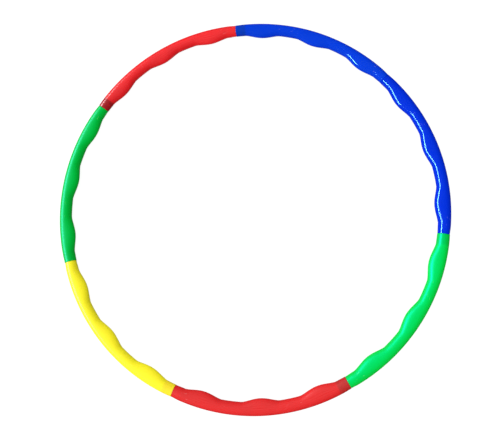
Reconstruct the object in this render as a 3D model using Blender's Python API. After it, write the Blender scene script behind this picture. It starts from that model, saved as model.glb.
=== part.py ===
"""Sectional exercise hoop: seven hollow sections that plug together into a ring.

Each section has a straight neck at one end, a straight socket at the other and three waves that swell
towards the hoop's centre. A spring clip in each neck pushes its button out through the next socket.

The hoop lies flat: its centre is the origin, +Z is up and the floor is z = 0. A section is built in its own
frame: origin on the tube's centreline at its shoulder's seam, X pointing out of the hoop, Y into the section.
"""

from math import cos, pi, radians, sin, sqrt, tan

import bmesh
import bpy
from mathutils import Matrix, Vector

# Sizes in metres
HOOP_DIAMETER = 0.650  # across the ring, over the middles of the sections
TUBE_DIAMETER = 0.0195  # outside of the tube between two waves
WALL = 0.0013  # moulded wall, in the tube, the neck and the socket

SECTION_COUNT = 7
FIRST_SECTION_MIDDLE = radians(-90)  # direction of the first section's middle
END_STRAIGHT = 0.0065  # straight run at each end of a section, before its bend

WAVES_PER_SECTION = 3
WAVE_HEIGHT = 0.0058  # swell towards the hoop's centre
WAVE_SPACE = 0.033  # plain tube between the feet of two waves
WAVE_POWER = 1.3  # of the cosine that shapes a wave: 1 is an arch, 2 has soft feet

NECK_LENGTH = 0.018
NECK_LEAD_IN = 0.0006  # chamfer at the neck's mouth
NECK_BORE_RUN = 0.003  # how far the neck's bore runs on past the shoulder
SOCKET_SPARE = 0.001  # room between the neck's mouth and the socket's floor
END_TAPER = 0.014  # length over which the tube narrows to its ends
RIM_STEP = 0.0003  # the socket's rim is this much smaller in radius than the tube
SHOULDER_STEP = 0.0003  # and the neck's shoulder this much smaller than the rim
EDGE = 0.0004  # chamfer on the rim and the shoulder

FIT_GAP = 0.0003  # neck to socket, clip to neck, and across the seam

CLIP_WIDTH = 0.005
CLIP_THICKNESS = 0.001
CLIP_BEND = 0.012  # from the seam to the start of the bend, inside the section
BACK_LEG = 0.016  # from the seam to the back leg's end, inside the neck
FRONT_LEG = 0.0135  # from the seam to the springy leg's end
BUTTON_DIAMETER = 0.0046
BUTTON_PLACE = 0.009  # from the seam to the button's middle
BUTTON_EDGE = 0.0005  # chamfer round the button's top
BUTTON_GAP = 0.0006  # round the button, in the neck and in the socket

SIDES = 12  # of the tube
STEPS_PER_HALF_WAVE = 3
BUTTON_SIDES = 16
BEND_STEPS = 8

tube_radius = TUBE_DIAMETER / 2
half_angle = pi / SECTION_COUNT
# From the hoop's centre to the tube's centreline at a seam, and the radius of each section's own bend
seam_radius = HOOP_DIAMETER / 2 - tube_radius - END_STRAIGHT * tan(half_angle / 2)
bend_radius = seam_radius - END_STRAIGHT / tan(half_angle)
bend_length = 2 * half_angle * bend_radius
section_length = bend_length + 2 * END_STRAIGHT
wave_pitch = section_length / WAVES_PER_SECTION
wave_half = (wave_pitch - WAVE_SPACE) / 2

rim_radius = tube_radius - RIM_STEP
socket_bore = rim_radius - WALL
neck_radius = socket_bore - FIT_GAP
neck_bore = neck_radius - WALL
socket_depth = NECK_LENGTH + SOCKET_SPARE
seam = FIT_GAP / 2

leg_face = sqrt((neck_bore - FIT_GAP) ** 2 - (CLIP_WIDTH / 2) ** 2)
leg_inside = leg_face - CLIP_THICKNESS

PLASTICS = {
    "red": (0.80, 0.012, 0.02),
    "green": (0.0, 0.55, 0.09),
    "blue": (0.003, 0.04, 0.62),
    "yellow": (0.94, 0.80, 0.01),
    "acetal": (0.72, 0.72, 0.70),
}
SECTION_PLASTICS = ("red", "green", "blue", "blue", "red", "green", "yellow")


def clear_scene():
    for thing in list(bpy.data.objects):
        bpy.data.objects.remove(thing)


def make_plastic(name, colour):
    """A glossy moulded plastic."""
    material = bpy.data.materials.new(name)
    material.use_nodes = True
    shader = material.node_tree.nodes["Principled BSDF"]
    shader.inputs["Base Color"].default_value = (*colour, 1.0)
    shader.inputs["Roughness"].default_value = 0.25
    shader.inputs["Metallic"].default_value = 0.0
    return material


def add_object(name, mesh, material=None, parent=None, place=None):
    """An object in the scene, placed in its parent's frame."""
    thing = bpy.data.objects.new(name, mesh)
    bpy.context.collection.objects.link(thing)
    thing.parent = parent
    if place is not None:
        thing.matrix_basis = place
    if material is not None:
        if not mesh.materials:
            mesh.materials.append(None)
        thing.material_slots[0].link = "OBJECT"
        thing.material_slots[0].material = material
    return thing


def finish_mesh(name, form, smooth_angle=None):
    """Turn a bmesh into a mesh with its faces pointing out."""
    bmesh.ops.recalc_face_normals(form, faces=form.faces)
    mesh = bpy.data.meshes.new(name)
    form.to_mesh(mesh)
    form.free()
    if smooth_angle is not None:
        mesh.shade_smooth()
        mesh.set_sharp_from_angle(angle=smooth_angle)
    return mesh


def add_boolean(thing, operation, other):
    cut = thing.modifiers.new(other.name, "BOOLEAN")
    cut.operation = operation
    cut.object = other
    cut.solver = "EXACT"


def make_guide(thing):
    """Keep a cutter or a shape that is joined on out of the finished hoop."""
    thing.hide_render = True
    thing.display_type = "WIRE"


def along_section(distance):
    """The frame on the centreline, this far from the shoulder's seam: straight, then bent, then straight."""
    before = min(distance, END_STRAIGHT)
    bent = min(max(distance - END_STRAIGHT, 0), bend_length)
    after = max(distance - END_STRAIGHT - bend_length, 0)
    turn = Matrix.Rotation(bent / bend_radius, 4, "Z")
    bend = Matrix.Translation((-bend_radius, 0, 0)) @ turn @ Matrix.Translation((bend_radius, 0, 0))
    return Matrix.Translation((0, before, 0)) @ bend @ Matrix.Translation((0, after, 0))


def along_socket(distance):
    """The frame on the socket's straight centreline, this far from the rim's seam."""
    return along_section(section_length) @ Matrix.Translation((0, distance, 0))


def swell(distance):
    """How far the tube swells inwards at a distance along the section."""
    from_middle = abs(distance % wave_pitch - wave_pitch / 2)
    if from_middle >= wave_half:
        return 0.0
    return WAVE_HEIGHT * cos(pi / 2 * from_middle / wave_half) ** WAVE_POWER


def tube_radius_at(distance):
    """The tube narrows smoothly to its shoulder at the start and to its rim at the end."""

    def narrowing(from_end, step):
        share = min(from_end / END_TAPER, 1)
        return step * (1 - share * share * (3 - 2 * share))

    at_shoulder = narrowing(distance, RIM_STEP + SHOULDER_STEP)
    at_rim = narrowing(section_length - distance, RIM_STEP)
    return tube_radius - at_shoulder - at_rim


def tube_outline(radius, inward=0.0):
    """Corners round the tube. Its flats touch the radius, and the inner half is stretched by the swell."""
    corner = radius / cos(pi / SIDES)
    outline = []
    for side in range(SIDES):
        turn = (side + 0.5) * 2 * pi / SIDES
        x = corner * cos(turn)
        if x < 0:
            x *= 1 + inward / radius
        outline.append((x, corner * sin(turn)))
    return outline


def loft_rings(form, rings):
    """Skin a chain of rings that closes on itself, which makes a tube with a wall."""
    loops = []
    for frame, outline in rings:
        corners = [frame @ Vector((x, 0, z)) for x, z in outline]
        loops.append([form.verts.new(corner) for corner in corners])
    for loop, following in zip(loops, loops[1:] + loops[:1]):
        count = len(loop)
        for i in range(count):
            j = (i + 1) % count
            form.faces.new((loop[i], loop[j], following[j], following[i]))


def tube_stations():
    """Distances along a section at which its cross-section is drawn."""
    stations = {END_TAPER / 2, section_length - END_TAPER / 2}
    for wave in range(WAVES_PER_SECTION):
        middle = wave_pitch * (wave + 0.5)
        for step in range(-STEPS_PER_HALF_WAVE, STEPS_PER_HALF_WAVE + 1):
            stations.add(middle + wave_half * step / STEPS_PER_HALF_WAVE)
        if wave:
            stations.add(wave_pitch * wave)
    return sorted(stations)


def section_mesh():
    """The moulded section: neck, shoulder, waved tube and socket, hollow from end to end."""
    shoulder_end = seam + EDGE
    rim_start = section_length - seam - EDGE
    outside = [
        (along_section(-NECK_LENGTH), tube_outline(neck_radius - NECK_LEAD_IN)),
        (along_section(-NECK_LENGTH + NECK_LEAD_IN), tube_outline(neck_radius)),
        (along_section(seam), tube_outline(neck_radius)),
        (along_section(seam), tube_outline(tube_radius_at(seam) - EDGE)),
        (along_section(shoulder_end), tube_outline(tube_radius_at(shoulder_end))),
    ]
    inside = [
        (along_section(-NECK_LENGTH), tube_outline(neck_bore)),
        (along_section(NECK_BORE_RUN), tube_outline(neck_bore)),
    ]
    for distance in tube_stations():
        outer, inward = tube_radius_at(distance), swell(distance)
        outside.append((along_section(distance), tube_outline(outer, inward)))
        if NECK_BORE_RUN + EDGE < distance < section_length - socket_depth - EDGE:
            inside.append((along_section(distance), tube_outline(outer - WALL, inward)))
    outside += [
        (along_section(rim_start), tube_outline(tube_radius_at(rim_start))),
        (along_section(section_length - seam), tube_outline(rim_radius - EDGE)),
    ]
    inside += [
        (along_socket(-socket_depth), tube_outline(socket_bore)),
        (along_socket(-seam), tube_outline(socket_bore)),
    ]

    form = bmesh.new()
    loft_rings(form, outside + inside[::-1])
    return finish_mesh("hoop_section", form, radians(30))


def extrude_outline(form, outline, width):
    """A flat plate: an outline in X and Y, extruded evenly up and down."""
    low = [form.verts.new((x, y, -width / 2)) for x, y in outline]
    high = [form.verts.new((x, y, width / 2)) for x, y in outline]
    form.faces.new(low[::-1])
    form.faces.new(high)
    count = len(outline)
    for i in range(count):
        j = (i + 1) % count
        form.faces.new((low[i], low[j], high[j], high[i]))


def clip_mesh():
    """The clip's fixed part: its back leg and its half-round bend."""
    arc = [pi - pi * i / BEND_STEPS for i in range(BEND_STEPS + 1)]
    outline = [(-leg_inside, -BACK_LEG), (-leg_face, -BACK_LEG)]
    outline += [(leg_face * cos(turn), CLIP_BEND + leg_face * sin(turn)) for turn in arc]
    outline += [(leg_inside * cos(turn), CLIP_BEND + leg_inside * sin(turn)) for turn in arc[::-1]]
    form = bmesh.new()
    extrude_outline(form, outline, CLIP_WIDTH)
    return finish_mesh("lock_clip", form, radians(30))


def front_leg_mesh():
    """The clip's springy leg, in a frame whose origin is at the bend, where it flexes."""
    start = -FIT_GAP
    end = -(CLIP_BEND + FRONT_LEG)
    half = CLIP_THICKNESS / 2
    form = bmesh.new()
    extrude_outline(form, [(-half, end), (half, end), (half, start), (-half, start)], CLIP_WIDTH)
    return finish_mesh("lock_front_leg", form)


def button_shape_mesh():
    """The round button, standing on the middle of the leg's thickness and level with the tube's outside."""
    middle = leg_face - CLIP_THICKNESS / 2
    top = tube_radius - middle
    radius = BUTTON_DIAMETER / 2
    form = bmesh.new()
    for bottom, ceiling, low_radius, high_radius in (
        (0.0, top - BUTTON_EDGE, radius, radius),
        (top - BUTTON_EDGE, top, radius, radius - BUTTON_EDGE),
    ):
        place = Matrix.Rotation(pi / 2, 4, "Y") @ Matrix.Translation((0, 0, (bottom + ceiling) / 2))
        bmesh.ops.create_cone(
            form,
            cap_ends=False,
            segments=BUTTON_SIDES,
            radius1=low_radius,
            radius2=high_radius,
            depth=ceiling - bottom,
            matrix=place,
        )
    bmesh.ops.remove_doubles(form, verts=form.verts, dist=0.00001)
    bmesh.ops.holes_fill(form, edges=form.edges, sides=BUTTON_SIDES)
    return finish_mesh("lock_button_shape", form)


def button_hole_mesh():
    """Cutter for the hole through the outer wall of the neck and of the socket."""
    form = bmesh.new()
    start = leg_inside
    end = tube_radius * 2
    place = Matrix.Rotation(pi / 2, 4, "Y") @ Matrix.Translation((0, 0, (start + end) / 2))
    bmesh.ops.create_cone(
        form,
        cap_ends=True,
        segments=BUTTON_SIDES,
        radius1=BUTTON_DIAMETER / 2 + BUTTON_GAP,
        radius2=BUTTON_DIAMETER / 2 + BUTTON_GAP,
        depth=end - start,
        matrix=place,
    )
    return finish_mesh("button_hole", form)


def build_hoop():
    plastics = {name: make_plastic(f"{name}_plastic", colour) for name, colour in PLASTICS.items()}
    tube = section_mesh()
    clip = clip_mesh()
    front_leg = front_leg_mesh()
    button_shape = button_shape_mesh()
    hole = button_hole_mesh()

    first_seam = Matrix.Rotation(FIRST_SECTION_MIDDLE - half_angle, 4, "Z")
    centre = bpy.data.objects.new("hoop_centre", None)
    bpy.context.collection.objects.link(centre)
    centre.location = (0, 0, tube_radius)

    at_button = Matrix.Translation((0, -BUTTON_PLACE, 0))
    at_bend = Matrix.Translation((leg_face - CLIP_THICKNESS / 2, CLIP_BEND, 0))
    from_bend_to_button = Matrix.Translation((0, -BUTTON_PLACE - CLIP_BEND, 0))

    sections = []
    holes = []
    for number, colour in enumerate(SECTION_PLASTICS, start=1):
        if sections:
            parent, place = sections[-1], along_section(section_length)
        else:
            parent, place = centre, first_seam @ Matrix.Translation((seam_radius, 0, 0))
        section = add_object(f"hoop_section_{number}", tube, plastics[colour], parent, place)
        add_object(f"lock_clip_{number}", clip, plastics["acetal"], section)
        leg = add_object(f"lock_button_{number}", front_leg, plastics["acetal"], section, at_bend)
        button = add_object(f"button_shape_{number}", button_shape, None, leg, from_bend_to_button)
        cutter = add_object(f"button_hole_{number}", hole, None, section, at_button)
        make_guide(button)
        make_guide(cutter)
        add_boolean(leg, "UNION", button)
        sections.append(section)
        holes.append(cutter)

    for number, section in enumerate(sections):
        add_boolean(section, "DIFFERENCE", holes[number])
        add_boolean(section, "DIFFERENCE", holes[(number + 1) % SECTION_COUNT])


clear_scene()
build_hoop()
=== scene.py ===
"""Sectional exercise hoop: the finished look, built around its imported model.

Seven blow-moulded sections plug together into a ring. A spring clip sits in each section's neck, and its
button comes out through the next section's socket.
"""

from math import cos, pi, radians, sin, sqrt, tan

import bmesh
import bpy
from bpy.props import FloatProperty, FloatVectorProperty, IntProperty, PointerProperty
from bpy.types import Operator, Panel, PropertyGroup
from mathutils import Matrix, Vector


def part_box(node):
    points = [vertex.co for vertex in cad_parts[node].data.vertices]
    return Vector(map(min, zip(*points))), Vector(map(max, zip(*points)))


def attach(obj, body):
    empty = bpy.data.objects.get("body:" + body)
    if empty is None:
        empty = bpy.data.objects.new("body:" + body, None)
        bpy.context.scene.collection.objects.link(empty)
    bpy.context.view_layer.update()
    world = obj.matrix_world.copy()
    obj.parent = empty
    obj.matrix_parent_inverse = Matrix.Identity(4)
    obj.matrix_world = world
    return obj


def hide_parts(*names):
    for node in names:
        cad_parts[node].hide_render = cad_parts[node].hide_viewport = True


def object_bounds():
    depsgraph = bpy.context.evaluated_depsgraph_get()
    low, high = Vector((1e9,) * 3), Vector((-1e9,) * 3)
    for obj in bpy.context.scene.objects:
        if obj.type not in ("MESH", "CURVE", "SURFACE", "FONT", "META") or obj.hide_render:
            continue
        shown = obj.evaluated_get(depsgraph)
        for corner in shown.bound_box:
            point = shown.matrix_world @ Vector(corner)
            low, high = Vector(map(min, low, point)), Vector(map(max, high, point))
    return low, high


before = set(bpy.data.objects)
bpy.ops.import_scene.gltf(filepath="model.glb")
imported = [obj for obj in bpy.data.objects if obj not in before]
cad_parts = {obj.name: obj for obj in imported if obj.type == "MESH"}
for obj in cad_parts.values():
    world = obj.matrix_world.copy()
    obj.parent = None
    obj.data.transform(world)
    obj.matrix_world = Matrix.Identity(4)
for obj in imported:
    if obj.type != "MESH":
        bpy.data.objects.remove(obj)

bl_info = {
    "name": "Sectional Exercise Hoop",
    "version": (1, 0, 0),
    "blender": (4, 5, 0),
    "location": "3D View > Sidebar > Hoop",
    "description": "Blow-moulded sections, spring clips and a plain stage for a sectional exercise hoop",
    "category": "Add Mesh",
}

CAD_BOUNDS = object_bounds()
SECTION_COUNT = sum(name.startswith("hoop_section_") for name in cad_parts)
FIRST_SECTION_MIDDLE = radians(-90)
HOOP_RADIUS = -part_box("hoop_section_1")[0].y
TUBE_RADIUS = (CAD_BOUNDS[1][2] - CAD_BOUNDS[0][2]) / 2

# Anticlockwise from the lowest section. The last word names the section's colour slot.
# Sections of one plastic get lighter and darker copies of its colour: painted light and shade for how the
# light falls on each.
HUES = ("lower_red", "mint_green", "deep_blue", "upper_blue", "upper_red", "grass_green", "warm_yellow")
UNBENT = "unbent_place"  # where a point lies on the straight tube, for the materials

SIDE_CROWDING = 0.4  # how far the tube's sides crowd towards the inner and the outer edge
FIT_STEP = 0.002  # mesh spacing along the neck and along the socket's bore
HOLE_SIDES = 40
HAIR = 0.0001  # keeps the socket's floor out of the bent part
RIDGE_CLEAR = 0.0006  # the parting ridge stops this far from the rim and the shoulder
SEED_STEP = 7.3  # between two sections' noise, so that none repeats
CLIP_STEPS = 24  # round the clip's bend
TIP_STEPS = 6  # round a leg's end
HARD_EDGE = radians(40)  # a strip's edges that turn more than this are rounded
BUTTON_SIDES = 48
BUTTON_DOME = 0.0002  # how far the top rises from its edge to its middle
FLOOR_REACH = 40.0  # from the hoop's middle to the floor's sides


def linear_colour(code):
    """The linear colour of an sRGB hex value."""
    values = []
    for start in (1, 3, 5):
        share = int(code[start:start + 2], 16) / 255
        values.append(share / 12.92 if share <= 0.04045 else ((share + 0.055) / 1.055) ** 2.4)
    return tuple(values)


def length_property(title, description, metres):
    """A length that a user can change."""
    return FloatProperty(
        name=title, description=description, default=metres, min=0.0, precision=5,
        subtype="DISTANCE", unit="LENGTH",
    )


def colour_property(title, description, code):
    """A colour that a user can change."""
    return FloatVectorProperty(
        name=title, description=description, default=linear_colour(code), min=0.0, max=1.0, size=3,
        subtype="COLOR",
    )


def share_property(title, description, share):
    """A share from 0 to 1 that a user can change."""
    return FloatProperty(name=title, description=description, default=share, min=0.0, max=1.0)


class HoopSizes(PropertyGroup):
    """Sizes of the sections and of their joints."""

    wall: length_property("Wall", "Moulded wall of the tube, the neck and the socket", 0.0013)
    end_straight: length_property("End Straight", "Straight run at each end of a section", 0.0065)
    end_taper: length_property("End Taper", "Length over which the tube narrows to its ends", 0.014)
    rim_step: length_property("Rim Step", "How much smaller in radius the rim is than the tube", 0.0003)
    shoulder_step: length_property("Shoulder Step", "How much smaller the shoulder is than the rim", 0.0003)
    edge: length_property("Edge", "Rounding of the rim and the shoulder", 0.0004)
    mouth_edge: length_property("Mouth Edge", "Rounding of the neck's mouth", 0.0006)
    neck_length: length_property("Neck Length", "How far the neck reaches into the socket", 0.018)
    neck_bore_run: length_property("Neck Bore Run", "The neck's bore past the shoulder", 0.003)
    socket_spare: length_property("Socket Spare", "Between the neck's mouth and the socket's floor", 0.001)
    fit_gap: length_property("Fit Gap", "Neck to socket, clip to neck, and across the seam", 0.0003)
    waves: IntProperty(name="Waves", description="Waves on each section", default=3, min=1)
    wave_height: length_property("Wave Height", "Swell towards the hoop's centre", 0.0058)
    wave_space: length_property("Wave Space", "Plain tube between the feet of two waves", 0.033)
    wave_power: FloatProperty(
        name="Wave Power", description="Of the cosine that shapes a wave", default=1.3, min=1.0, max=3.0
    )
    parting_height: length_property("Parting Height", "Ridge where the two mould halves met", 0.00012)
    parting_width: length_property("Parting Width", "Half the width of that ridge", 0.00035)
    ripple_height: length_property("Ripple Height", "How far the blown wall sinks as it cools", 0.00008)
    ripple_length: length_property("Ripple Length", "Size of that unevenness along the tube", 0.030)
    station_step: length_property("Station Step", "Mesh spacing along the outer skin", 0.0015)
    bore_step: length_property("Bore Step", "Mesh spacing along the bore", 0.004)
    sides: IntProperty(name="Sides", description="Mesh sides round the tube", default=80, min=12)


class ClipSizes(PropertyGroup):
    """Sizes of the spring clips and their buttons."""

    width: length_property("Width", "Width of the clip's strip", 0.005)
    thickness: length_property("Thickness", "Thickness of the clip's strip", 0.001)
    bend: length_property("Bend", "From the seam to the start of the clip's bend", 0.012)
    back_leg: length_property("Back Leg", "From the seam to the back leg's end", 0.016)
    front_leg: length_property("Front Leg", "From the seam to the springy leg's end", 0.0135)
    rounding: length_property("Rounding", "Rounded edges of the strip", 0.0002)
    button_diameter: length_property("Button Diameter", "Across the button", 0.0046)
    button_place: length_property("Button Place", "From the seam to the button's middle", 0.009)
    button_edge: length_property("Button Edge", "Rounding of the button's top", 0.0007)
    button_gap: length_property("Button Gap", "Round the button, in the neck and in the socket", 0.0006)


class HoopColours(PropertyGroup):
    """Colours of the plastics. Sections of one plastic get lighter and darker copies of its colour, as
    painted light and shade for how the light falls on each. A covered colour is painted shade on the socket,
    where the next neck inside stops the light. A sheen is the colour that the plastic gives to what it
    mirrors."""

    lower_red: colour_property("Lower Red", "First section", "#E31E1E")
    lower_red_covered: colour_property("Lower Red, Covered", "Its socket over a neck", "#B72824")
    mint_green: colour_property("Mint Green", "Second section", "#01DA35")
    mint_green_covered: colour_property("Mint Green, Covered", "Its socket over a neck", "#01C532")
    deep_blue: colour_property("Deep Blue", "Third section", "#002ACE")
    deep_blue_covered: colour_property("Deep Blue, Covered", "Its socket over a neck", "#002ACC")
    upper_blue: colour_property("Upper Blue", "Fourth section", "#0237D2")
    upper_blue_covered: colour_property("Upper Blue, Covered", "Its socket over a neck", "#0A37AF")
    upper_red: colour_property("Upper Red", "Fifth section", "#F0171D")
    upper_red_covered: colour_property("Upper Red, Covered", "Its socket over a neck", "#9C0F17")
    grass_green: colour_property("Grass Green", "Sixth section", "#01C32A")
    grass_green_covered: colour_property("Grass Green, Covered", "Its socket over a neck", "#02BD2A")
    warm_yellow: colour_property("Warm Yellow", "Seventh section", "#FFF41C")
    warm_yellow_covered: colour_property("Warm Yellow, Covered", "Its socket over a neck", "#F8DE24")
    red_sheen: colour_property("Red Sheen", "What the red sections mirror", "#FFE6EA")
    green_sheen: colour_property("Green Sheen", "What the green sections mirror", "#18F4FF")
    blue_sheen: colour_property("Blue Sheen", "What the blue sections mirror", "#98F4FF")
    yellow_sheen: colour_property("Yellow Sheen", "What the yellow section mirrors", "#FFFFC0")
    lower_red_gloss: share_property("Lower Red Gloss", "How strongly the first section mirrors", 0.5)
    mint_green_gloss: share_property("Mint Green Gloss", "How strongly the second section mirrors", 1.0)
    deep_blue_gloss: share_property("Deep Blue Gloss", "How strongly the third section mirrors", 0.6)
    upper_blue_gloss: share_property("Upper Blue Gloss", "How strongly the fourth section mirrors", 0.6)
    upper_red_gloss: share_property("Upper Red Gloss", "How strongly the fifth section mirrors", 0.5)
    grass_green_gloss: share_property("Grass Green Gloss", "How strongly the sixth section mirrors", 0.5)
    warm_yellow_gloss: share_property("Warm Yellow Gloss", "How strongly the seventh section mirrors", 0.4)
    red_roughness: share_property("Red Roughness", "Of the red sections' skin", 0.28)
    green_roughness: share_property("Green Roughness", "Of the green sections' skin", 0.42)
    blue_roughness: share_property("Blue Roughness", "Of the blue sections' skin", 0.11)
    yellow_roughness: share_property("Yellow Roughness", "Of the yellow section's skin", 0.34)
    acetal: colour_property("Acetal", "Spring clips and buttons", "#EDEBE4")
    floor: colour_property("Floor", "The floor's own colour, under its white glow", "#606060")


class StageLook(PropertyGroup):
    """The camera, the lights and the floor."""

    camera_place: FloatVectorProperty(
        name="Camera Place", description="Where the camera stands", default=(0.08914, -0.11149, 0.78716),
        size=3, subtype="TRANSLATION", unit="LENGTH",
    )
    camera_turn: FloatVectorProperty(
        name="Camera Turn", description="How the camera is turned",
        default=(radians(10.072), radians(6.092), radians(-3.921)), size=3, subtype="EULER", unit="ROTATION",
    )
    lens: FloatProperty(name="Lens", description="Focal length in millimetres", default=34.206, min=1.0)
    shift_x: FloatProperty(name="Shift X", description="The camera's sideways shift", default=-0.00955)
    shift_y: FloatProperty(name="Shift Y", description="The camera's upward shift", default=-0.05815)
    strip_power: FloatProperty(
        name="Strip", description="Power of the long strip light on the left", default=125.0, min=0.0
    )
    fill: FloatProperty(name="Fill", description="Pale surroundings on the light side", default=1.7, min=0.0)
    shade: FloatProperty(name="Shade", description="Surroundings on the dark side", default=0.38, min=0.0)
    mirrored: FloatProperty(
        name="Mirrored", description="How much of the surroundings the gloss shows", default=0.03, min=0.0
    )
    table_glow: FloatProperty(
        name="Table Glow", description="Light from inside the pale floor", default=0.95, min=0.0
    )


def add_node(tree, kind, inputs=None, **settings):
    """Add a node with its settings. An input is a value, or a socket that it is linked from."""
    node = tree.nodes.new(kind)
    for name, value in settings.items():
        setattr(node, name, value)
    for name, value in (inputs or {}).items():
        if isinstance(value, bpy.types.NodeSocket):
            tree.links.new(value, node.inputs[name])
        else:
            node.inputs[name].default_value = value
    return node


class Shape:
    """What follows from the sizes: radii, stations along a section, and the places of its seams."""

    def __init__(self, sizes, clip):
        self.half_angle = pi / SECTION_COUNT
        straight = sizes.end_straight
        self.seam_radius = HOOP_RADIUS - TUBE_RADIUS - straight * tan(self.half_angle / 2)
        self.bend_radius = self.seam_radius - straight / tan(self.half_angle)
        self.bend_length = 2 * self.half_angle * self.bend_radius
        self.section_length = self.bend_length + 2 * straight
        self.rim_radius = TUBE_RADIUS - sizes.rim_step
        self.socket_bore = self.rim_radius - sizes.wall
        self.neck_radius = self.socket_bore - sizes.fit_gap
        self.neck_bore = self.neck_radius - sizes.wall
        self.socket_depth = sizes.neck_length + sizes.socket_spare
        self.seam = sizes.fit_gap / 2
        self.leg_face = sqrt((self.neck_bore - sizes.fit_gap) ** 2 - (clip.width / 2) ** 2)
        self.leg_inside = self.leg_face - clip.thickness

    def seam_place(self, number):
        """The frame of a section: its shoulder's seam, X out of the hoop, Y into the section."""
        turn = FIRST_SECTION_MIDDLE - self.half_angle + 2 * self.half_angle * (number - 1)
        place = Matrix.Rotation(turn, 4, "Z") @ Matrix.Translation((self.seam_radius, 0, 0))
        return Matrix.Translation((0, 0, TUBE_RADIUS)) @ place, turn


def tube_radius_at(sizes, shape, station):
    """The tube narrows smoothly to its shoulder at the start and to its rim at the end."""
    radius = TUBE_RADIUS
    steps = (
        (station, sizes.rim_step + sizes.shoulder_step),
        (shape.section_length - station, sizes.rim_step),
    )
    for from_end, step in steps:
        share = min(max(from_end / sizes.end_taper, 0), 1)
        radius -= step * (1 - share * share * (3 - 2 * share))
    return radius


def arc_points(middle, radius, start, end, steps=4):
    """Points on an arc, in two coordinates. Angles are in degrees."""
    points = []
    for step in range(steps + 1):
        turn = radians(start + (end - start) * step / steps)
        points.append((middle[0] + radius * cos(turn), middle[1] + radius * sin(turn)))
    return points


def even_steps(start, end, step):
    """Evenly spaced stations from start to end, both included."""
    count = max(1, round(abs(end - start) / step))
    return [start + (end - start) * i / count for i in range(count + 1)]


def wall_outline(sizes, shape):
    """The closed outline of a section's wall, cut along the tube: station along it, reach from its middle."""
    edge, wall = sizes.edge, sizes.wall
    mouth = -sizes.neck_length
    shoulder, rim = shape.seam, shape.section_length - shape.seam
    floor = shape.section_length - shape.socket_depth
    shoulder_radius = tube_radius_at(sizes, shape, shoulder + edge)
    rim_radius = tube_radius_at(sizes, shape, rim - edge)

    mouth_middle = (mouth + sizes.mouth_edge, shape.neck_radius - sizes.mouth_edge)
    outline = arc_points(mouth_middle, sizes.mouth_edge, 180, 90)
    outline += [(station, shape.neck_radius) for station in even_steps(mouth + FIT_STEP, shoulder, FIT_STEP)]
    outline += arc_points((shoulder + edge, shoulder_radius - edge), edge, 180, 90)
    body = even_steps(shoulder + edge, rim - edge, sizes.station_step)[1:-1]
    outline += [(station, tube_radius_at(sizes, shape, station)) for station in body]
    outline += arc_points((rim - edge, rim_radius - edge), edge, 90, 0)
    outline += [(rim, shape.socket_bore + edge / 2), (rim - edge / 2, shape.socket_bore)]
    outline += [(station, shape.socket_bore) for station in even_steps(rim - FIT_STEP, floor, FIT_STEP)]
    bore = even_steps(floor - wall, sizes.end_taper / 2, sizes.bore_step)
    outline += [(station, tube_radius_at(sizes, shape, station) - wall) for station in bore]
    outline += [(sizes.neck_bore_run, shape.neck_bore), (0.0, shape.neck_bore)]
    outline += [(mouth / 2, shape.neck_bore), (mouth, shape.neck_bore)]
    return outline


def add_group_inputs(tree, names):
    """Give a tree its named inputs."""
    for name, kind in names:
        tree.interface.new_socket(name, in_out="INPUT", socket_type=kind)


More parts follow.
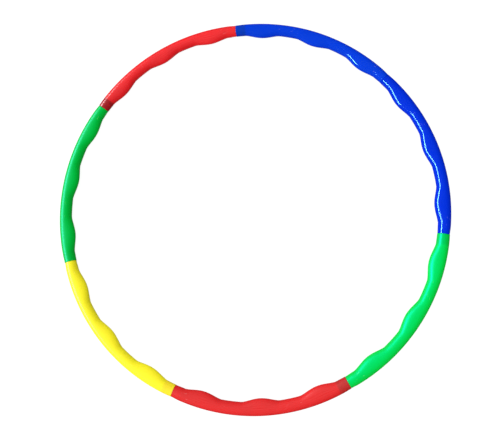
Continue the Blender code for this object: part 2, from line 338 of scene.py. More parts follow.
def section_tree():
    """Turns the outline of a section's wall into the section: swept round, holed, waved, bent and placed."""
    tree = bpy.data.node_groups.new("moulded_section", "GeometryNodeTree")
    add_group_inputs(tree, [
        ("Outline", "NodeSocketGeometry"),
        ("Sides", "NodeSocketInt"),
        ("Section Length", "NodeSocketFloat"),
        ("End Straight", "NodeSocketFloat"),
        ("Bend Radius", "NodeSocketFloat"),
        ("Bend Length", "NodeSocketFloat"),
        ("Socket Depth", "NodeSocketFloat"),
        ("Bore Limit", "NodeSocketFloat"),
        ("Waves", "NodeSocketFloat"),
        ("Wave Height", "NodeSocketFloat"),
        ("Wave Space", "NodeSocketFloat"),
        ("Wave Power", "NodeSocketFloat"),
        ("Parting Height", "NodeSocketFloat"),
        ("Parting Width", "NodeSocketFloat"),
        ("Ripple Height", "NodeSocketFloat"),
        ("Ripple Length", "NodeSocketFloat"),
        ("End Taper", "NodeSocketFloat"),
        ("Hole Radius", "NodeSocketFloat"),
        ("Hole Start", "NodeSocketFloat"),
        ("Hole Depth", "NodeSocketFloat"),
        ("Hole Place", "NodeSocketFloat"),
        ("Seed", "NodeSocketFloat"),
        ("Seam Place", "NodeSocketVector"),
        ("Seam Turn", "NodeSocketVector"),
        ("Material", "NodeSocketMaterial"),
    ])
    tree.interface.new_socket("Section", in_out="OUTPUT", socket_type="NodeSocketGeometry")
    given = add_node(tree, "NodeGroupInput").outputs

    # Sweep the outline round. It lies in X and Y, as station and reach.
    outline = add_node(tree, "GeometryNodeMeshToCurve", {"Mesh": given["Outline"]})
    place = add_node(tree, "GeometryNodeInputPosition")
    drawn = add_node(
        tree, "GeometryNodeStoreNamedAttribute",
        {"Geometry": outline.outputs[0], "Name": "outline_place", "Value": place.outputs[0]},
        data_type="FLOAT_VECTOR", domain="POINT",
    )
    ring = add_node(tree, "GeometryNodeCurvePrimitiveCircle", {"Resolution": given["Sides"], "Radius": 1.0})
    round_share = add_node(tree, "GeometryNodeSplineParameter")
    turned = add_node(
        tree, "GeometryNodeStoreNamedAttribute",
        {"Geometry": ring.outputs[0], "Name": "turn_share", "Value": round_share.outputs["Factor"]},
        data_type="FLOAT", domain="POINT",
    )
    swept = add_node(
        tree, "GeometryNodeCurveToMesh", {"Curve": turned.outputs[0], "Profile Curve": drawn.outputs[0]}
    )
    outline_place = add_node(
        tree, "GeometryNodeInputNamedAttribute", {"Name": "outline_place"}, data_type="FLOAT_VECTOR"
    )
    station_reach = add_node(tree, "ShaderNodeSeparateXYZ", {0: outline_place.outputs[0]}).outputs
    turn_share = add_node(tree, "GeometryNodeInputNamedAttribute", {"Name": "turn_share"}, data_type="FLOAT")

    value = {"station": station_reach[0], "reach": station_reach[1], "turn_share": turn_share.outputs[0]}
    # The sides crowd towards the inner and the outer edge, where the parting ridge is narrow.
    sums = [
        ("even_turn", "MULTIPLY", "turn_share", 2 * pi),
        ("double_turn", "MULTIPLY", "even_turn", 2.0),
        ("crowding", "SINE", "double_turn"),
        ("crowded", "MULTIPLY", "crowding", SIDE_CROWDING),
        ("turn", "SUBTRACT", "even_turn", "crowded"),
        ("turn_cos", "COSINE", "turn"),
        ("turn_sin", "SINE", "turn"),
        ("tube_x", "MULTIPLY", "reach", "turn_cos"),
        ("tube_z", "MULTIPLY", "reach", "turn_sin"),
    ]
    for name, operation, *terms in sums:
        terms = {i: value.get(term, term) for i, term in enumerate(terms)}
        value[name] = add_node(tree, "ShaderNodeMath", terms, operation=operation).outputs[0]
    straight = add_node(
        tree, "ShaderNodeCombineXYZ", {0: value["tube_x"], 1: value["station"], 2: value["tube_z"]}
    )
    tube = add_node(
        tree, "GeometryNodeSetPosition", {"Geometry": swept.outputs[0], "Position": straight.outputs[0]}
    )

    # Holes for the buttons, one in the neck and one in the socket
    hole = add_node(
        tree, "GeometryNodeMeshCylinder",
        {"Vertices": HOLE_SIDES, "Radius": given["Hole Radius"], "Depth": given["Hole Depth"]},
    )
    sums = [
        ("half_depth", "MULTIPLY", given["Hole Depth"], 0.5),
        ("hole_middle", "ADD", given["Hole Start"], "half_depth"),
        ("neck_hole", "MULTIPLY", given["Hole Place"], -1.0),
        ("socket_hole", "SUBTRACT", given["Section Length"], given["Hole Place"]),
    ]
    for name, operation, *terms in sums:
        terms = {i: value.get(term, term) for i, term in enumerate(terms)}
        value[name] = add_node(tree, "ShaderNodeMath", terms, operation=operation).outputs[0]
    holed = tube
    for station in ("neck_hole", "socket_hole"):
        middle = add_node(tree, "ShaderNodeCombineXYZ", {0: value["hole_middle"], 1: value[station]})
        placed = add_node(
            tree, "GeometryNodeTransform",
            {"Geometry": hole.outputs[0], "Translation": middle.outputs[0], "Rotation": (0, radians(90), 0)},
        )
        holed = add_node(
            tree, "GeometryNodeMeshBoolean", {"Mesh 1": holed.outputs[0], "Mesh 2": placed.outputs[0]},
            operation="DIFFERENCE", solver="EXACT",
        )

    # The materials follow the tube by its unbent shape.
    unbent = add_node(
        tree, "GeometryNodeStoreNamedAttribute",
        {"Geometry": holed.outputs[0], "Name": UNBENT, "Value": place.outputs[0]},
        data_type="FLOAT_VECTOR", domain="POINT",
    )
    ripple_scale = add_node(tree, "ShaderNodeMath", {0: 1.0, 1: given["Ripple Length"]}, operation="DIVIDE")
    ripple = add_node(
        tree, "ShaderNodeTexNoise",
        {"Vector": place.outputs[0], "W": given["Seed"], "Scale": ripple_scale.outputs[0], "Detail": 1.0},
        noise_dimensions="4D",
    )
    x_y_z = add_node(tree, "ShaderNodeSeparateXYZ", {0: place.outputs[0]}).outputs
    value.update(x=x_y_z[0], y=x_y_z[1], z=x_y_z[2], ripple=ripple.outputs[0])
    sums = [
        ("x_x", "MULTIPLY", "x", "x"),
        ("radius_squared", "MULTIPLY_ADD", "z", "z", "x_x"),
        ("radius", "SQRT", "radius_squared"),
        # 1 in the straight bore of the socket, and 0 elsewhere
        ("socket_start", "SUBTRACT", given["Section Length"], given["Socket Depth"]),
        ("bore_start", "SUBTRACT", "socket_start", HAIR),
        ("past_start", "GREATER_THAN", "y", "bore_start"),
        ("in_bore", "LESS_THAN", "radius", given["Bore Limit"]),
        ("in_socket", "MULTIPLY", "past_start", "in_bore"),
        ("not_in_socket", "SUBTRACT", 1.0, "in_socket"),
        # A wave swells the inner half of the tube.
        ("above_start", "MAXIMUM", "y", 0.0),
        ("inside_ends", "MINIMUM", "above_start", given["Section Length"]),
        ("pitch", "DIVIDE", given["Section Length"], given["Waves"]),
        ("in_pitch", "FLOORED_MODULO", "inside_ends", "pitch"),
        ("half_pitch", "MULTIPLY", "pitch", 0.5),
        ("from_crest", "SUBTRACT", "in_pitch", "half_pitch"),
        ("to_crest", "ABSOLUTE", "from_crest"),
        ("wave_length", "SUBTRACT", "pitch", given["Wave Space"]),
        ("wave_half", "MULTIPLY", "wave_length", 0.5),
        ("wave_share", "DIVIDE", "to_crest", "wave_half"),
        ("wave_share_in", "MINIMUM", "wave_share", 1.0),
        ("wave_turn", "MULTIPLY", "wave_share_in", pi / 2),
        ("wave_cos", "COSINE", "wave_turn"),
        ("wave_arch", "MAXIMUM", "wave_cos", 0.0),
        ("wave_form", "POWER", "wave_arch", given["Wave Power"]),
        ("wave", "MULTIPLY", "wave_form", given["Wave Height"]),
        ("swell", "MULTIPLY", "wave", "not_in_socket"),
        ("x_share", "DIVIDE", "x", "radius"),
        ("z_share", "DIVIDE", "z", "radius"),
        ("inner_share", "MINIMUM", "x_share", 0.0),
        ("swollen_x", "MULTIPLY_ADD", "inner_share", "swell", "x"),
        # The blown wall cools a little uneven, but not where it fits.
        ("from_end", "SUBTRACT", given["Section Length"], "y"),
        ("to_end", "MINIMUM", "from_end", "y"),
        ("end_share", "DIVIDE", "to_end", given["End Taper"]),
        ("end_high", "MINIMUM", "end_share", 1.0),
        ("away_from_ends", "MAXIMUM", "end_high", 0.0),
        ("ripple_inward", "SUBTRACT", "ripple", 1.0),
        ("ripple_sized", "MULTIPLY", "ripple_inward", given["Ripple Height"]),
        ("push", "MULTIPLY", "ripple_sized", "away_from_ends"),
        ("rippled_x", "MULTIPLY_ADD", "x_share", "push", "swollen_x"),
        ("rippled_z", "MULTIPLY_ADD", "z_share", "push", "z"),
        # A low ridge at the inner and the outer edge, where the mould parted
        ("z_size", "ABSOLUTE", "z"),
        ("ridge_share", "DIVIDE", "z_size", given["Parting Width"]),
        ("ridge_in", "MINIMUM", "ridge_share", 1.0),
        ("ridge_square", "MULTIPLY", "ridge_in", "ridge_in"),
        ("ridge_fall", "SUBTRACT", 1.0, "ridge_square"),
        ("ridge_form", "MULTIPLY", "ridge_fall", "ridge_fall"),
        ("ridge_high", "MULTIPLY", "ridge_form", given["Parting Height"]),
        ("off_end", "GREATER_THAN", "to_end", RIDGE_CLEAR),
        ("ridge_size", "MULTIPLY", "ridge_high", "off_end"),
        ("x_side", "SIGN", "x"),
        ("ridged_x", "MULTIPLY_ADD", "ridge_size", "x_side", "rippled_x"),
        # Bend: straight, then round the hoop, then straight. The socket's bore is straight all the way.
        ("before", "MINIMUM", "y", given["End Straight"]),
        ("past_straight", "SUBTRACT", "y", given["End Straight"]),
        ("bent_low", "MAXIMUM", "past_straight", 0.0),
        ("bent_in", "MINIMUM", "bent_low", given["Bend Length"]),
        ("bent_tube", "MULTIPLY", "bent_in", "not_in_socket"),
        ("bent", "MULTIPLY_ADD", given["Bend Length"], "in_socket", "bent_tube"),
        ("past_before", "SUBTRACT", "y", "before"),
        ("after", "SUBTRACT", "past_before", "bent"),
        ("bend_turn", "DIVIDE", "bent", given["Bend Radius"]),
        ("bend_cos", "COSINE", "bend_turn"),
        ("bend_sin", "SINE", "bend_turn"),
        ("from_middle", "ADD", "ridged_x", given["Bend Radius"]),
        ("out", "MULTIPLY", "from_middle", "bend_cos"),
        ("back", "MULTIPLY", "after", "bend_sin"),
        ("out_x", "SUBTRACT", "out", "back"),
        ("bent_x", "SUBTRACT", "out_x", given["Bend Radius"]),
        ("along", "MULTIPLY_ADD", "after", "bend_cos", "before"),
        ("bent_y", "MULTIPLY_ADD", "from_middle", "bend_sin", "along"),
    ]
    for name, operation, *terms in sums:
        terms = {i: value.get(term, term) for i, term in enumerate(terms)}
        value[name] = add_node(tree, "ShaderNodeMath", terms, operation=operation).outputs[0]
    bent = add_node(
        tree, "ShaderNodeCombineXYZ", {0: value["bent_x"], 1: value["bent_y"], 2: value["rippled_z"]}
    )
    waved = add_node(
        tree, "GeometryNodeSetPosition", {"Geometry": unbent.outputs[0], "Position": bent.outputs[0]}
    )
    in_ring = add_node(
        tree, "GeometryNodeTransform",
        {"Geometry": waved.outputs[0], "Translation": given["Seam Place"], "Rotation": given["Seam Turn"]},
    )
    real = add_node(tree, "GeometryNodeRealizeInstances", {"Geometry": in_ring.outputs[0]})
    finished = add_node(
        tree, "GeometryNodeSetMaterial", {"Geometry": real.outputs[0], "Material": given["Material"]}
    )
    add_node(tree, "NodeGroupOutput", {0: finished.outputs[0]})
    return tree


def run_tree(name, mesh, tree, values):
    """The plain mesh that a Geometry Nodes tree makes of a starting mesh."""
    start = bpy.data.objects.new(f"{name}_start", mesh)
    bpy.context.collection.objects.link(start)
    modifier = start.modifiers.new(tree.name, "NODES")
    modifier.node_group = tree
    for socket in tree.interface.items_tree:
        if socket.in_out == "INPUT" and socket.name in values:
            modifier[socket.identifier] = values[socket.name]
    evaluated = start.evaluated_get(bpy.context.evaluated_depsgraph_get())
    made = bpy.data.meshes.new_from_object(evaluated)
    bpy.data.objects.remove(start)
    made.name = name
    return made


def add_piece(name, mesh, body, replaced, smooth_angle=35):
    """Put a finished mesh in the scene as a piece that rides on a body and stands for a node of the frame."""
    mesh.shade_smooth()
    mesh.set_sharp_from_angle(angle=radians(smooth_angle))
    piece = bpy.data.objects.new(name, mesh)
    bpy.context.collection.objects.link(piece)
    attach(piece, body)
    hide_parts(replaced)
    return piece


def moulded_polyethylene(name, colour, covered, sheen, gloss, roughness, section_length, neck_length):
    """Blow-moulded polyethylene: glossy and even in colour, with faint streaks along the tube, a few scuffs
    and pale specks, and a duller line where the mould parted. Where a neck fills the socket, painted shade
    darkens it."""
    material = bpy.data.materials.new(name)
    material.use_nodes = True
    tree = material.node_tree
    shader = tree.nodes["Principled BSDF"]
    place = add_node(tree, "ShaderNodeAttribute", attribute_name=UNBENT).outputs["Vector"]
    x_y_z = add_node(tree, "ShaderNodeSeparateXYZ", {0: place}).outputs

    # The covered part of the socket, painted darker as shade where the neck inside stops the light, with a
    # soft and uneven edge
    blotch = add_node(tree, "ShaderNodeTexNoise", {"Vector": place, "Scale": 1 / 0.004, "Detail": 2.0})
    wander = add_node(
        tree, "ShaderNodeMath", {0: blotch.outputs[0], 1: 0.003, 2: x_y_z[1]}, operation="MULTIPLY_ADD"
    )
    cover_start = section_length - neck_length
    cover = add_node(
        tree, "ShaderNodeMapRange",
        {"Value": wander.outputs[0], "From Min": cover_start, "From Max": cover_start + 0.004},
        interpolation_type="SMOOTHSTEP",
    )
    cover_mottle = add_node(
        tree, "ShaderNodeMapRange",
        {"Value": blotch.outputs[0], "From Min": 0.35, "From Max": 0.65, "To Min": 1.0, "To Max": 0.7},
    )
    cover_shade = add_node(
        tree, "ShaderNodeMath", {0: cover.outputs[0], 1: cover_mottle.outputs[0]}, operation="MULTIPLY"
    )
    # Wall thickness varies round the tube and along it, over a few centimetres.
    wall = add_node(tree, "ShaderNodeTexNoise", {"Vector": place, "Scale": 1 / 0.025, "Detail": 3.0})
    cloud = add_node(
        tree, "ShaderNodeMapRange",
        {"Value": wall.outputs[0], "From Min": 0.35, "From Max": 0.7, "To Min": 0.0, "To Max": 0.15},
    )
    # The wall's random tone or the socket's painted shade, whichever darkens more
    darker = add_node(
        tree, "ShaderNodeMath", {0: cloud.outputs[0], 1: cover_shade.outputs[0]}, operation="MAXIMUM"
    )
    body_colour = add_node(
        tree, "ShaderNodeMix", {0: darker.outputs[0], 6: (*colour, 1.0), 7: (*covered, 1.0)}, data_type="RGBA"
    )

    # Streaks along the tube, half a millimetre wide and some centimetres long
    stretched = add_node(tree, "ShaderNodeMapping", {"Vector": place, "Scale": (2000, 30, 2000)})
    streaks = add_node(
        tree, "ShaderNodeTexNoise", {"Vector": stretched.outputs[0], "Scale": 1.0, "Detail": 2.0}
    )
    # A few scuffs from floors and other sections: short scratches at a slant, in patches
    slanted = add_node(
        tree, "ShaderNodeMapping", {"Vector": place, "Rotation": (0.5, 0.4, 0.3), "Scale": (2600, 110, 2600)}
    )
    scratch = add_node(
        tree, "ShaderNodeTexNoise", {"Vector": slanted.outputs[0], "Scale": 1.0, "Detail": 0.0}
    )
    scratch_line = add_node(
        tree, "ShaderNodeMapRange", {"Value": scratch.outputs[0], "From Min": 0.79, "From Max": 0.84}
    )
    patch = add_node(tree, "ShaderNodeTexNoise", {"Vector": place, "Scale": 1 / 0.018, "Detail": 1.0})
    patch_part = add_node(
        tree, "ShaderNodeMapRange", {"Value": patch.outputs[0], "From Min": 0.58, "From Max": 0.68}
    )
    scuff = add_node(
        tree, "ShaderNodeMath", {0: scratch_line.outputs[0], 1: patch_part.outputs[0]}, operation="MULTIPLY"
    )
    # Pale specks under a millimetre across, a couple on each section
    cells = add_node(tree, "ShaderNodeTexVoronoi", {"Vector": place, "Scale": 1 / 0.007})
    cell_choice = add_node(tree, "ShaderNodeSeparateXYZ", {0: cells.outputs["Color"]})
    chosen = add_node(tree, "ShaderNodeMath", {0: cell_choice.outputs[0], 1: 0.96}, operation="GREATER_THAN")
    dot = add_node(
        tree, "ShaderNodeMapRange",
        {
            "Value": cells.outputs["Distance"], "From Min": 0.03, "From Max": 0.07,
            "To Min": 1.0, "To Max": 0.0,
        },
    )
    speck = add_node(tree, "ShaderNodeMath", {0: dot.outputs[0], 1: chosen.outputs[0]}, operation="MULTIPLY")
    # The parting line
    z_size = add_node(tree, "ShaderNodeMath", {0: x_y_z[2]}, operation="ABSOLUTE")
    parting = add_node(
        tree, "ShaderNodeMapRange",
        {"Value": z_size.outputs[0], "From Min": 0.0001, "From Max": 0.0005, "To Min": 1.0, "To Max": 0.0},
    )
    marks = add_node(tree, "ShaderNodeMath", {0: scuff.outputs[0], 1: speck.outputs[0]}, operation="MAXIMUM")
    pale = add_node(tree, "ShaderNodeMath", {0: marks.outputs[0], 1: 0.4}, operation="MULTIPLY")
    worn = add_node(
        tree, "ShaderNodeMath", {0: parting.outputs[0], 1: 0.12, 2: pale.outputs[0]}, operation="MULTIPLY_ADD"
    )
    pale_colour = tuple(0.5 + 0.5 * part for part in colour)
    marked = add_node(
        tree, "ShaderNodeMix", {0: worn.outputs[0], 6: body_colour.outputs[2], 7: (*pale_colour, 1.0)},
        data_type="RGBA",
    )
    tree.links.new(marked.outputs[2], shader.inputs["Base Color"])

    skin = add_node(
        tree, "ShaderNodeMapRange",
        {
            "Value": streaks.outputs[0], "From Min": 0.3, "From Max": 0.7,
            "To Min": roughness - 0.015, "To Max": roughness + 0.015,
        },
    )
    dulled = add_node(
        tree, "ShaderNodeMath", {0: marks.outputs[0], 1: parting.outputs[0]}, operation="MAXIMUM"
    )
    rough = add_node(
        tree, "ShaderNodeMath", {0: dulled.outputs[0], 1: 0.2, 2: skin.outputs[0]}, operation="MULTIPLY_ADD"
    )
    tree.links.new(rough.outputs[0], shader.inputs["Roughness"])

    # Faint orange peel of about 3 mm, and the scuffs as hair-fine relief
    peel = add_node(tree, "ShaderNodeTexNoise", {"Vector": place, "Scale": 1 / 0.0032, "Detail": 0.0})
    scored = add_node(
        tree, "ShaderNodeMath", {0: marks.outputs[0], 1: -0.5, 2: peel.outputs[0]}, operation="MULTIPLY_ADD"
    )
    bump = add_node(
        tree, "ShaderNodeBump", {"Height": scored.outputs[0], "Strength": 0.06, "Distance": 0.00003}
    )
    tree.links.new(bump.outputs[0], shader.inputs["Normal"])
    shader.inputs["IOR"].default_value = 1.54
    shader.inputs["Specular IOR Level"].default_value = gloss
    shader.inputs["Specular Tint"].default_value = (*sheen, 1.0)
    return material


def moulded_acetal(name, colour):
    """Injection-moulded acetal: off-white, waxy and a little translucent, with a fine spark-eroded grain."""
    material = bpy.data.materials.new(name)
    material.use_nodes = True
    tree = material.node_tree
    shader = tree.nodes["Principled BSDF"]
    place = add_node(tree, "ShaderNodeTexCoord").outputs["Object"]
    cloud = add_node(tree, "ShaderNodeTexNoise", {"Vector": place, "Scale": 1 / 0.004, "Detail": 2.0})
    yellowed = tuple(part * share for part, share in zip(colour, (0.93, 0.90, 0.82)))
    tint = add_node(
        tree, "ShaderNodeMix", {0: cloud.outputs[0], 6: (*colour, 1.0), 7: (*yellowed, 1.0)}, data_type="RGBA"
    )
    tree.links.new(tint.outputs[2], shader.inputs["Base Color"])
    # Drawn coarser than the real grain of a few hundredths of a millimetre, so that it can be seen
    grain = add_node(tree, "ShaderNodeTexNoise", {"Vector": place, "Scale": 1 / 0.0003, "Detail": 2.0})
    roughness = add_node(
        tree, "ShaderNodeMapRange",
        {"Value": grain.outputs[0], "From Min": 0.3, "From Max": 0.7, "To Min": 0.32, "To Max": 0.45},
    )
    tree.links.new(roughness.outputs[0], shader.inputs["Roughness"])
    bump = add_node(
        tree, "ShaderNodeBump", {"Height": grain.outputs[0], "Strength": 0.4, "Distance": 0.00003}
    )
    tree.links.new(bump.outputs[0], shader.inputs["Normal"])
    shader.inputs["IOR"].default_value = 1.48
    shader.inputs["Subsurface Weight"].default_value = 0.15
    shader.inputs["Subsurface Radius"].default_value = (0.002, 0.002, 0.0018)
    shader.inputs["Subsurface Scale"].default_value = 1.0
    return material


def strip_mesh(name, outline, width, rounding):
    """A flat strip: an outline in X and Y, extruded evenly up and down, with its long edges rounded."""
    form = bmesh.new()
    low = [form.verts.new((x, y, -width / 2)) for x, y in outline]
    high = [form.verts.new((x, y, width / 2)) for x, y in outline]
    form.faces.new(low[::-1])
    form.faces.new(high)
    for i in range(len(outline)):
        j = (i + 1) % len(outline)
        form.faces.new((low[i], low[j], high[j], high[i]))
    bmesh.ops.recalc_face_normals(form, faces=form.faces)
    rims = [edge for edge in form.edges if edge.calc_face_angle(0.0) > HARD_EDGE]
    bmesh.ops.bevel(
        form, geom=rims, offset=rounding, segments=3, profile=0.5, affect="EDGES", clamp_overlap=True
    )
    mesh = bpy.data.meshes.new(name)
    form.to_mesh(mesh)
    form.free()
    return mesh


def clip_outline(clip, shape):
    """The back leg and the half-round bend of a clip, seen from above. The back leg's end is half round."""
    outer, inner = shape.leg_face, shape.leg_inside
    half = clip.thickness / 2
    tip = arc_points((-(outer + inner) / 2, half - clip.back_leg), half, 360, 180, TIP_STEPS)
    outside = arc_points((0.0, clip.bend), outer, 180, 0, CLIP_STEPS)
    inside = arc_points((0.0, clip.bend), inner, 0, 180, CLIP_STEPS)
    return tip + outside + inside


def leg_outline(clip, gap):
    """The springy leg, seen from above, from its free end to just short of the bend."""
    half = clip.thickness / 2
    tip = arc_points((0.0, half - clip.bend - clip.front_leg), half, 180, 360, TIP_STEPS)
    return tip + [(half, -gap), (-half, -gap)]


def button_mesh(clip, shape):
    """The turned button: straight sides, a rounded edge and a slightly domed top, standing along X."""
    top = TUBE_RADIUS - (shape.leg_face - clip.thickness / 2)
    radius, edge = clip.button_diameter / 2, clip.button_edge
    profile = [(0.0, 0.0), (0.0, radius)]
    profile += [
        (top - BUTTON_DOME - edge + edge * sin(radians(turn)), radius - edge + edge * cos(radians(turn)))
        for turn in range(0, 91, 18)
    ]
    for share in (0.66, 0.33):
        profile.append((top - BUTTON_DOME * share ** 2, (radius - edge) * share))
    profile.append((top, 0.0))
    form = bmesh.new()
    points = [form.verts.new((x, 0, reach)) for x, reach in profile]
    edges = [form.edges.new(pair) for pair in zip(points, points[1:])]
    bmesh.ops.spin(
        form, geom=points + edges, cent=(0, 0, 0), axis=(1, 0, 0), angle=2 * pi, steps=BUTTON_SIDES,
        use_merge=True,
    )
    bmesh.ops.remove_doubles(form, verts=form.verts, dist=0.000001)
    bmesh.ops.recalc_face_normals(form, faces=form.faces)
    mesh = bpy.data.meshes.new("button")
    form.to_mesh(mesh)
    form.free()
    return mesh


def joined(name, first, second):
    """One closed mesh from two that overlap."""
    one = bpy.data.objects.new(name, first)
    two = bpy.data.objects.new(f"{name}_other", second)
    for thing in (one, two):
        bpy.context.collection.objects.link(thing)
    union = one.modifiers.new("union", "BOOLEAN")
    union.operation = "UNION"
    union.solver = "EXACT"
    union.object = two
    mesh = bpy.data.meshes.new_from_object(one.evaluated_get(bpy.context.evaluated_depsgraph_get()))
    for thing in (one, two):
        bpy.data.objects.remove(thing)
    return mesh


class HOOP_OT_sections(Operator):
    """Make the seven moulded sections"""

    bl_idname = "hoop.make_sections"
    bl_label = "Make Sections"

    def execute(self, context):
        scene = context.scene
        sizes, clip, colours = scene.hoop_sizes, scene.hoop_clips, scene.hoop_colours
        shape = Shape(sizes, clip)
        outline = wall_outline(sizes, shape)
        tree = section_tree()
        for number, hue in enumerate(HUES, start=1):
            paint = hue.split("_")[-1]
            # Each section's colour and covered colour are its own lighter or darker copy of its plastic's
            # colour: painted light and shade.
            plastic = moulded_polyethylene(
                f"moulded_polyethylene_{hue}", tuple(getattr(colours, hue)),
                tuple(getattr(colours, f"{hue}_covered")), tuple(getattr(colours, f"{paint}_sheen")),
                getattr(colours, f"{hue}_gloss"), getattr(colours, f"{paint}_roughness"),
                shape.section_length, sizes.neck_length,
            )
            place, turn = shape.seam_place(number)
            start = bpy.data.meshes.new("wall_outline")
            count = len(outline)
            start.from_pydata(
                [(station, reach, 0.0) for station, reach in outline],
                [(i, (i + 1) % count) for i in range(count)], [],
            )
            mesh = run_tree(f"section_{number}", start, tree, {
                "Sides": sizes.sides,
                "Section Length": shape.section_length,
                "End Straight": sizes.end_straight,
                "Bend Radius": shape.bend_radius,
                "Bend Length": shape.bend_length,
                "Socket Depth": shape.socket_depth,
                "Bore Limit": (shape.socket_bore + shape.rim_radius) / 2,
                "Waves": float(sizes.waves),
                "Wave Height": sizes.wave_height,
                "Wave Space": sizes.wave_space,
                "Wave Power": sizes.wave_power,
                "Parting Height": sizes.parting_height,
                "Parting Width": sizes.parting_width,
                "Ripple Height": sizes.ripple_height,
                "Ripple Length": sizes.ripple_length,
                "End Taper": sizes.end_taper,
                "Hole Radius": clip.button_diameter / 2 + clip.button_gap,
                "Hole Start": shape.leg_inside,
                "Hole Depth": 2 * TUBE_RADIUS - shape.leg_inside,
                "Hole Place": clip.button_place,
                "Seed": number * SEED_STEP,
                "Seam Place": place.translation,
                "Seam Turn": (0.0, 0.0, turn),
                "Material": plastic,
            })
            add_piece(
                f"{paint}_section_{number}", mesh, f"section_{number}", f"hoop_section_{number}",
            )
        return {"FINISHED"}


class HOOP_OT_clips(Operator):
    """Make the spring clips that sit in the necks"""

    bl_idname = "hoop.make_clips"
    bl_label = "Make Spring Clips"

    def execute(self, context):
        scene = context.scene
        sizes, clip = scene.hoop_sizes, scene.hoop_clips
        shape = Shape(sizes, clip)
        acetal = moulded_acetal("moulded_acetal_clip", tuple(scene.hoop_colours.acetal))
        for number in range(1, SECTION_COUNT + 1):
            mesh = strip_mesh(f"clip_{number}", clip_outline(clip, shape), clip.width, clip.rounding)
            mesh.transform(shape.seam_place(number)[0])
            mesh.materials.append(acetal)
            add_piece(
                f"spring_clip_{number}", mesh, f"section_{number}", f"lock_clip_{number}"
            )
        return {"FINISHED"}


class HOOP_OT_buttons(Operator):
    """Make the springy legs with their buttons"""

    bl_idname = "hoop.make_buttons"
    bl_label = "Make Spring Buttons"

    def execute(self, context):
        scene = context.scene
        sizes, clip = scene.hoop_sizes, scene.hoop_clips
        shape = Shape(sizes, clip)
        acetal = moulded_acetal("moulded_acetal_button", tuple(scene.hoop_colours.acetal))
        for number in range(1, SECTION_COUNT + 1):
            leg = strip_mesh("leg", leg_outline(clip, sizes.fit_gap), clip.width, clip.rounding)
            button = button_mesh(clip, shape)
            button.transform(Matrix.Translation((0, -clip.button_place - clip.bend, 0)))
            mesh = joined(f"button_{number}", leg, button)
            at_bend = Matrix.Translation((shape.leg_face - clip.thickness / 2, clip.bend, 0))
            mesh.transform(shape.seam_place(number)[0] @ at_bend)
            mesh.materials.clear()
            mesh.materials.append(acetal)
            add_piece(
                f"spring_button_{number}", mesh, f"button_{number}", f"lock_button_{number}"
            )
        return {"FINISHED"}


def add_area_light(name, place, target, size, power):
    """A rectangular area light at a place, facing a target."""
    light = bpy.data.lights.new(name, "AREA")
    light.shape = "RECTANGLE"
    light.size, light.size_y = size
    light.energy = power
    lamp = bpy.data.objects.new(name, light)
    lamp.location = place
    lamp.rotation_euler = (Vector(target) - Vector(place)).to_track_quat("-Z", "Y").to_euler()
    bpy.context.collection.objects.link(lamp)
    return lamp


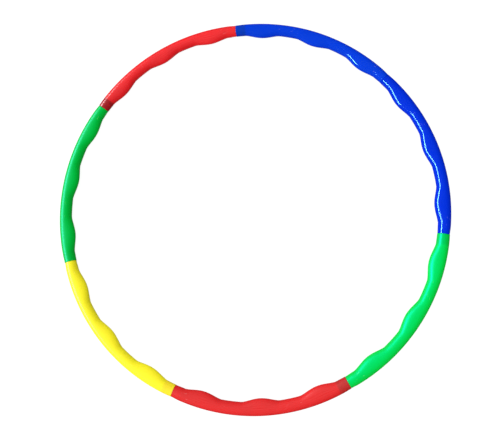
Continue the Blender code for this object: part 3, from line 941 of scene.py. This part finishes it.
class HOOP_OT_stage(Operator):
    """Make the camera, the lights and the pale floor"""

    bl_idname = "hoop.make_stage"
    bl_label = "Make Stage"

    def execute(self, context):
        scene = context.scene
        look, colours = scene.hoop_stage, scene.hoop_colours

        camera = bpy.data.cameras.new("camera")
        camera.lens = look.lens
        camera.sensor_width = 36.0
        camera.shift_x = look.shift_x
        camera.shift_y = look.shift_y
        camera.clip_start = 0.01
        stand = bpy.data.objects.new("camera", camera)
        stand.location = look.camera_place
        stand.rotation_euler = look.camera_turn
        context.collection.objects.link(stand)
        scene.camera = stand

        form = bmesh.new()
        bmesh.ops.create_grid(form, x_segments=2, y_segments=2, size=FLOOR_REACH)
        mesh = bpy.data.meshes.new("floor")
        form.to_mesh(mesh)
        form.free()
        floor = bpy.data.objects.new("floor", mesh)
        context.collection.objects.link(floor)
        paint = bpy.data.materials.new("matt_white_floor")
        paint.use_nodes = True
        shader = paint.node_tree.nodes["Principled BSDF"]
        shader.inputs["Base Color"].default_value = (*colours.floor, 1.0)
        shader.inputs["Roughness"].default_value = 0.9
        shader.inputs["Emission Color"].default_value = (1.0, 1.0, 1.0, 1.0)
        shader.inputs["Emission Strength"].default_value = look.table_glow
        mesh.materials.append(paint)
        floor.visible_glossy = False
        floor.visible_diffuse = False

        strip = add_area_light(
            "left_strip", (-1.95, 0.3, 1.35), (0.0, 0.0, 0.0), (2.8, 0.6), look.strip_power
        )
        strip.visible_diffuse = False

        world = bpy.data.worlds.new("pale_surroundings")
        scene.world = world
        world.use_nodes = True
        tree = world.node_tree
        direction = add_node(tree, "ShaderNodeTexCoord").outputs["Generated"]
        side = add_node(
            tree, "ShaderNodeVectorMath", {0: direction, 1: (-0.9, 0.1, 0.42)}, operation="DOT_PRODUCT"
        )
        strength = add_node(
            tree, "ShaderNodeMapRange",
            {
                "Value": side.outputs["Value"], "From Min": -0.6, "From Max": 0.8,
                "To Min": look.shade, "To Max": look.fill,
            },
            interpolation_type="SMOOTHSTEP",
        )
        # The gloss shows the strip light, and only a little of the surroundings.
        ray = add_node(tree, "ShaderNodeLightPath")
        shown = add_node(
            tree, "ShaderNodeMapRange",
            {"Value": ray.outputs["Is Glossy Ray"], "To Min": 1.0, "To Max": look.mirrored},
        )
        mirrored = add_node(
            tree, "ShaderNodeMath", {0: strength.outputs[0], 1: shown.outputs[0]}, operation="MULTIPLY"
        )
        # Past the floor's edge the camera sees plain white.
        seen = add_node(
            tree, "ShaderNodeMath", {0: mirrored.outputs[0], 1: ray.outputs["Is Camera Ray"]},
            operation="MAXIMUM",
        )
        tree.links.new(seen.outputs[0], tree.nodes["Background"].inputs["Strength"])
        tree.nodes["Background"].inputs["Color"].default_value = (1.0, 1.0, 1.0, 1.0)
        scene.view_settings.view_transform = "Standard"
        return {"FINISHED"}


class HOOP_PT_panel(Panel):
    """The hoop's pieces and stage"""

    bl_label = "Sectional Hoop"
    bl_idname = "HOOP_PT_panel"
    bl_space_type = "VIEW_3D"
    bl_region_type = "UI"
    bl_category = "Hoop"

    def draw(self, context):
        for operator in OPERATORS:
            self.layout.operator(operator.bl_idname)
        for name in PROPERTY_GROUPS:
            group = getattr(context.scene, name)
            box = self.layout.box()
            box.label(text=name.replace("_", " ").title())
            for key in group.bl_rna.properties.keys():
                if key not in ("rna_type", "name"):
                    box.prop(group, key)


OPERATORS = (HOOP_OT_sections, HOOP_OT_clips, HOOP_OT_buttons, HOOP_OT_stage)
PROPERTY_GROUPS = {
    "hoop_sizes": HoopSizes,
    "hoop_clips": ClipSizes,
    "hoop_colours": HoopColours,
    "hoop_stage": StageLook,
}


def register():
    """Register the classes and give a scene the hoop's settings."""
    for kind in (*PROPERTY_GROUPS.values(), *OPERATORS, HOOP_PT_panel):
        bpy.utils.register_class(kind)
    for name, group in PROPERTY_GROUPS.items():
        setattr(bpy.types.Scene, name, PointerProperty(type=group))


def unregister():
    """Take the settings and the classes away again."""
    for name in PROPERTY_GROUPS:
        delattr(bpy.types.Scene, name)
    for kind in (HOOP_PT_panel, *OPERATORS[::-1], *list(PROPERTY_GROUPS.values())[::-1]):
        bpy.utils.unregister_class(kind)


def main():
    """Make the stage and the hoop."""
    register()
    bpy.ops.hoop.make_stage()
    bpy.ops.hoop.make_sections()
    bpy.ops.hoop.make_clips()
    bpy.ops.hoop.make_buttons()


if __name__ == "__main__":
    main()
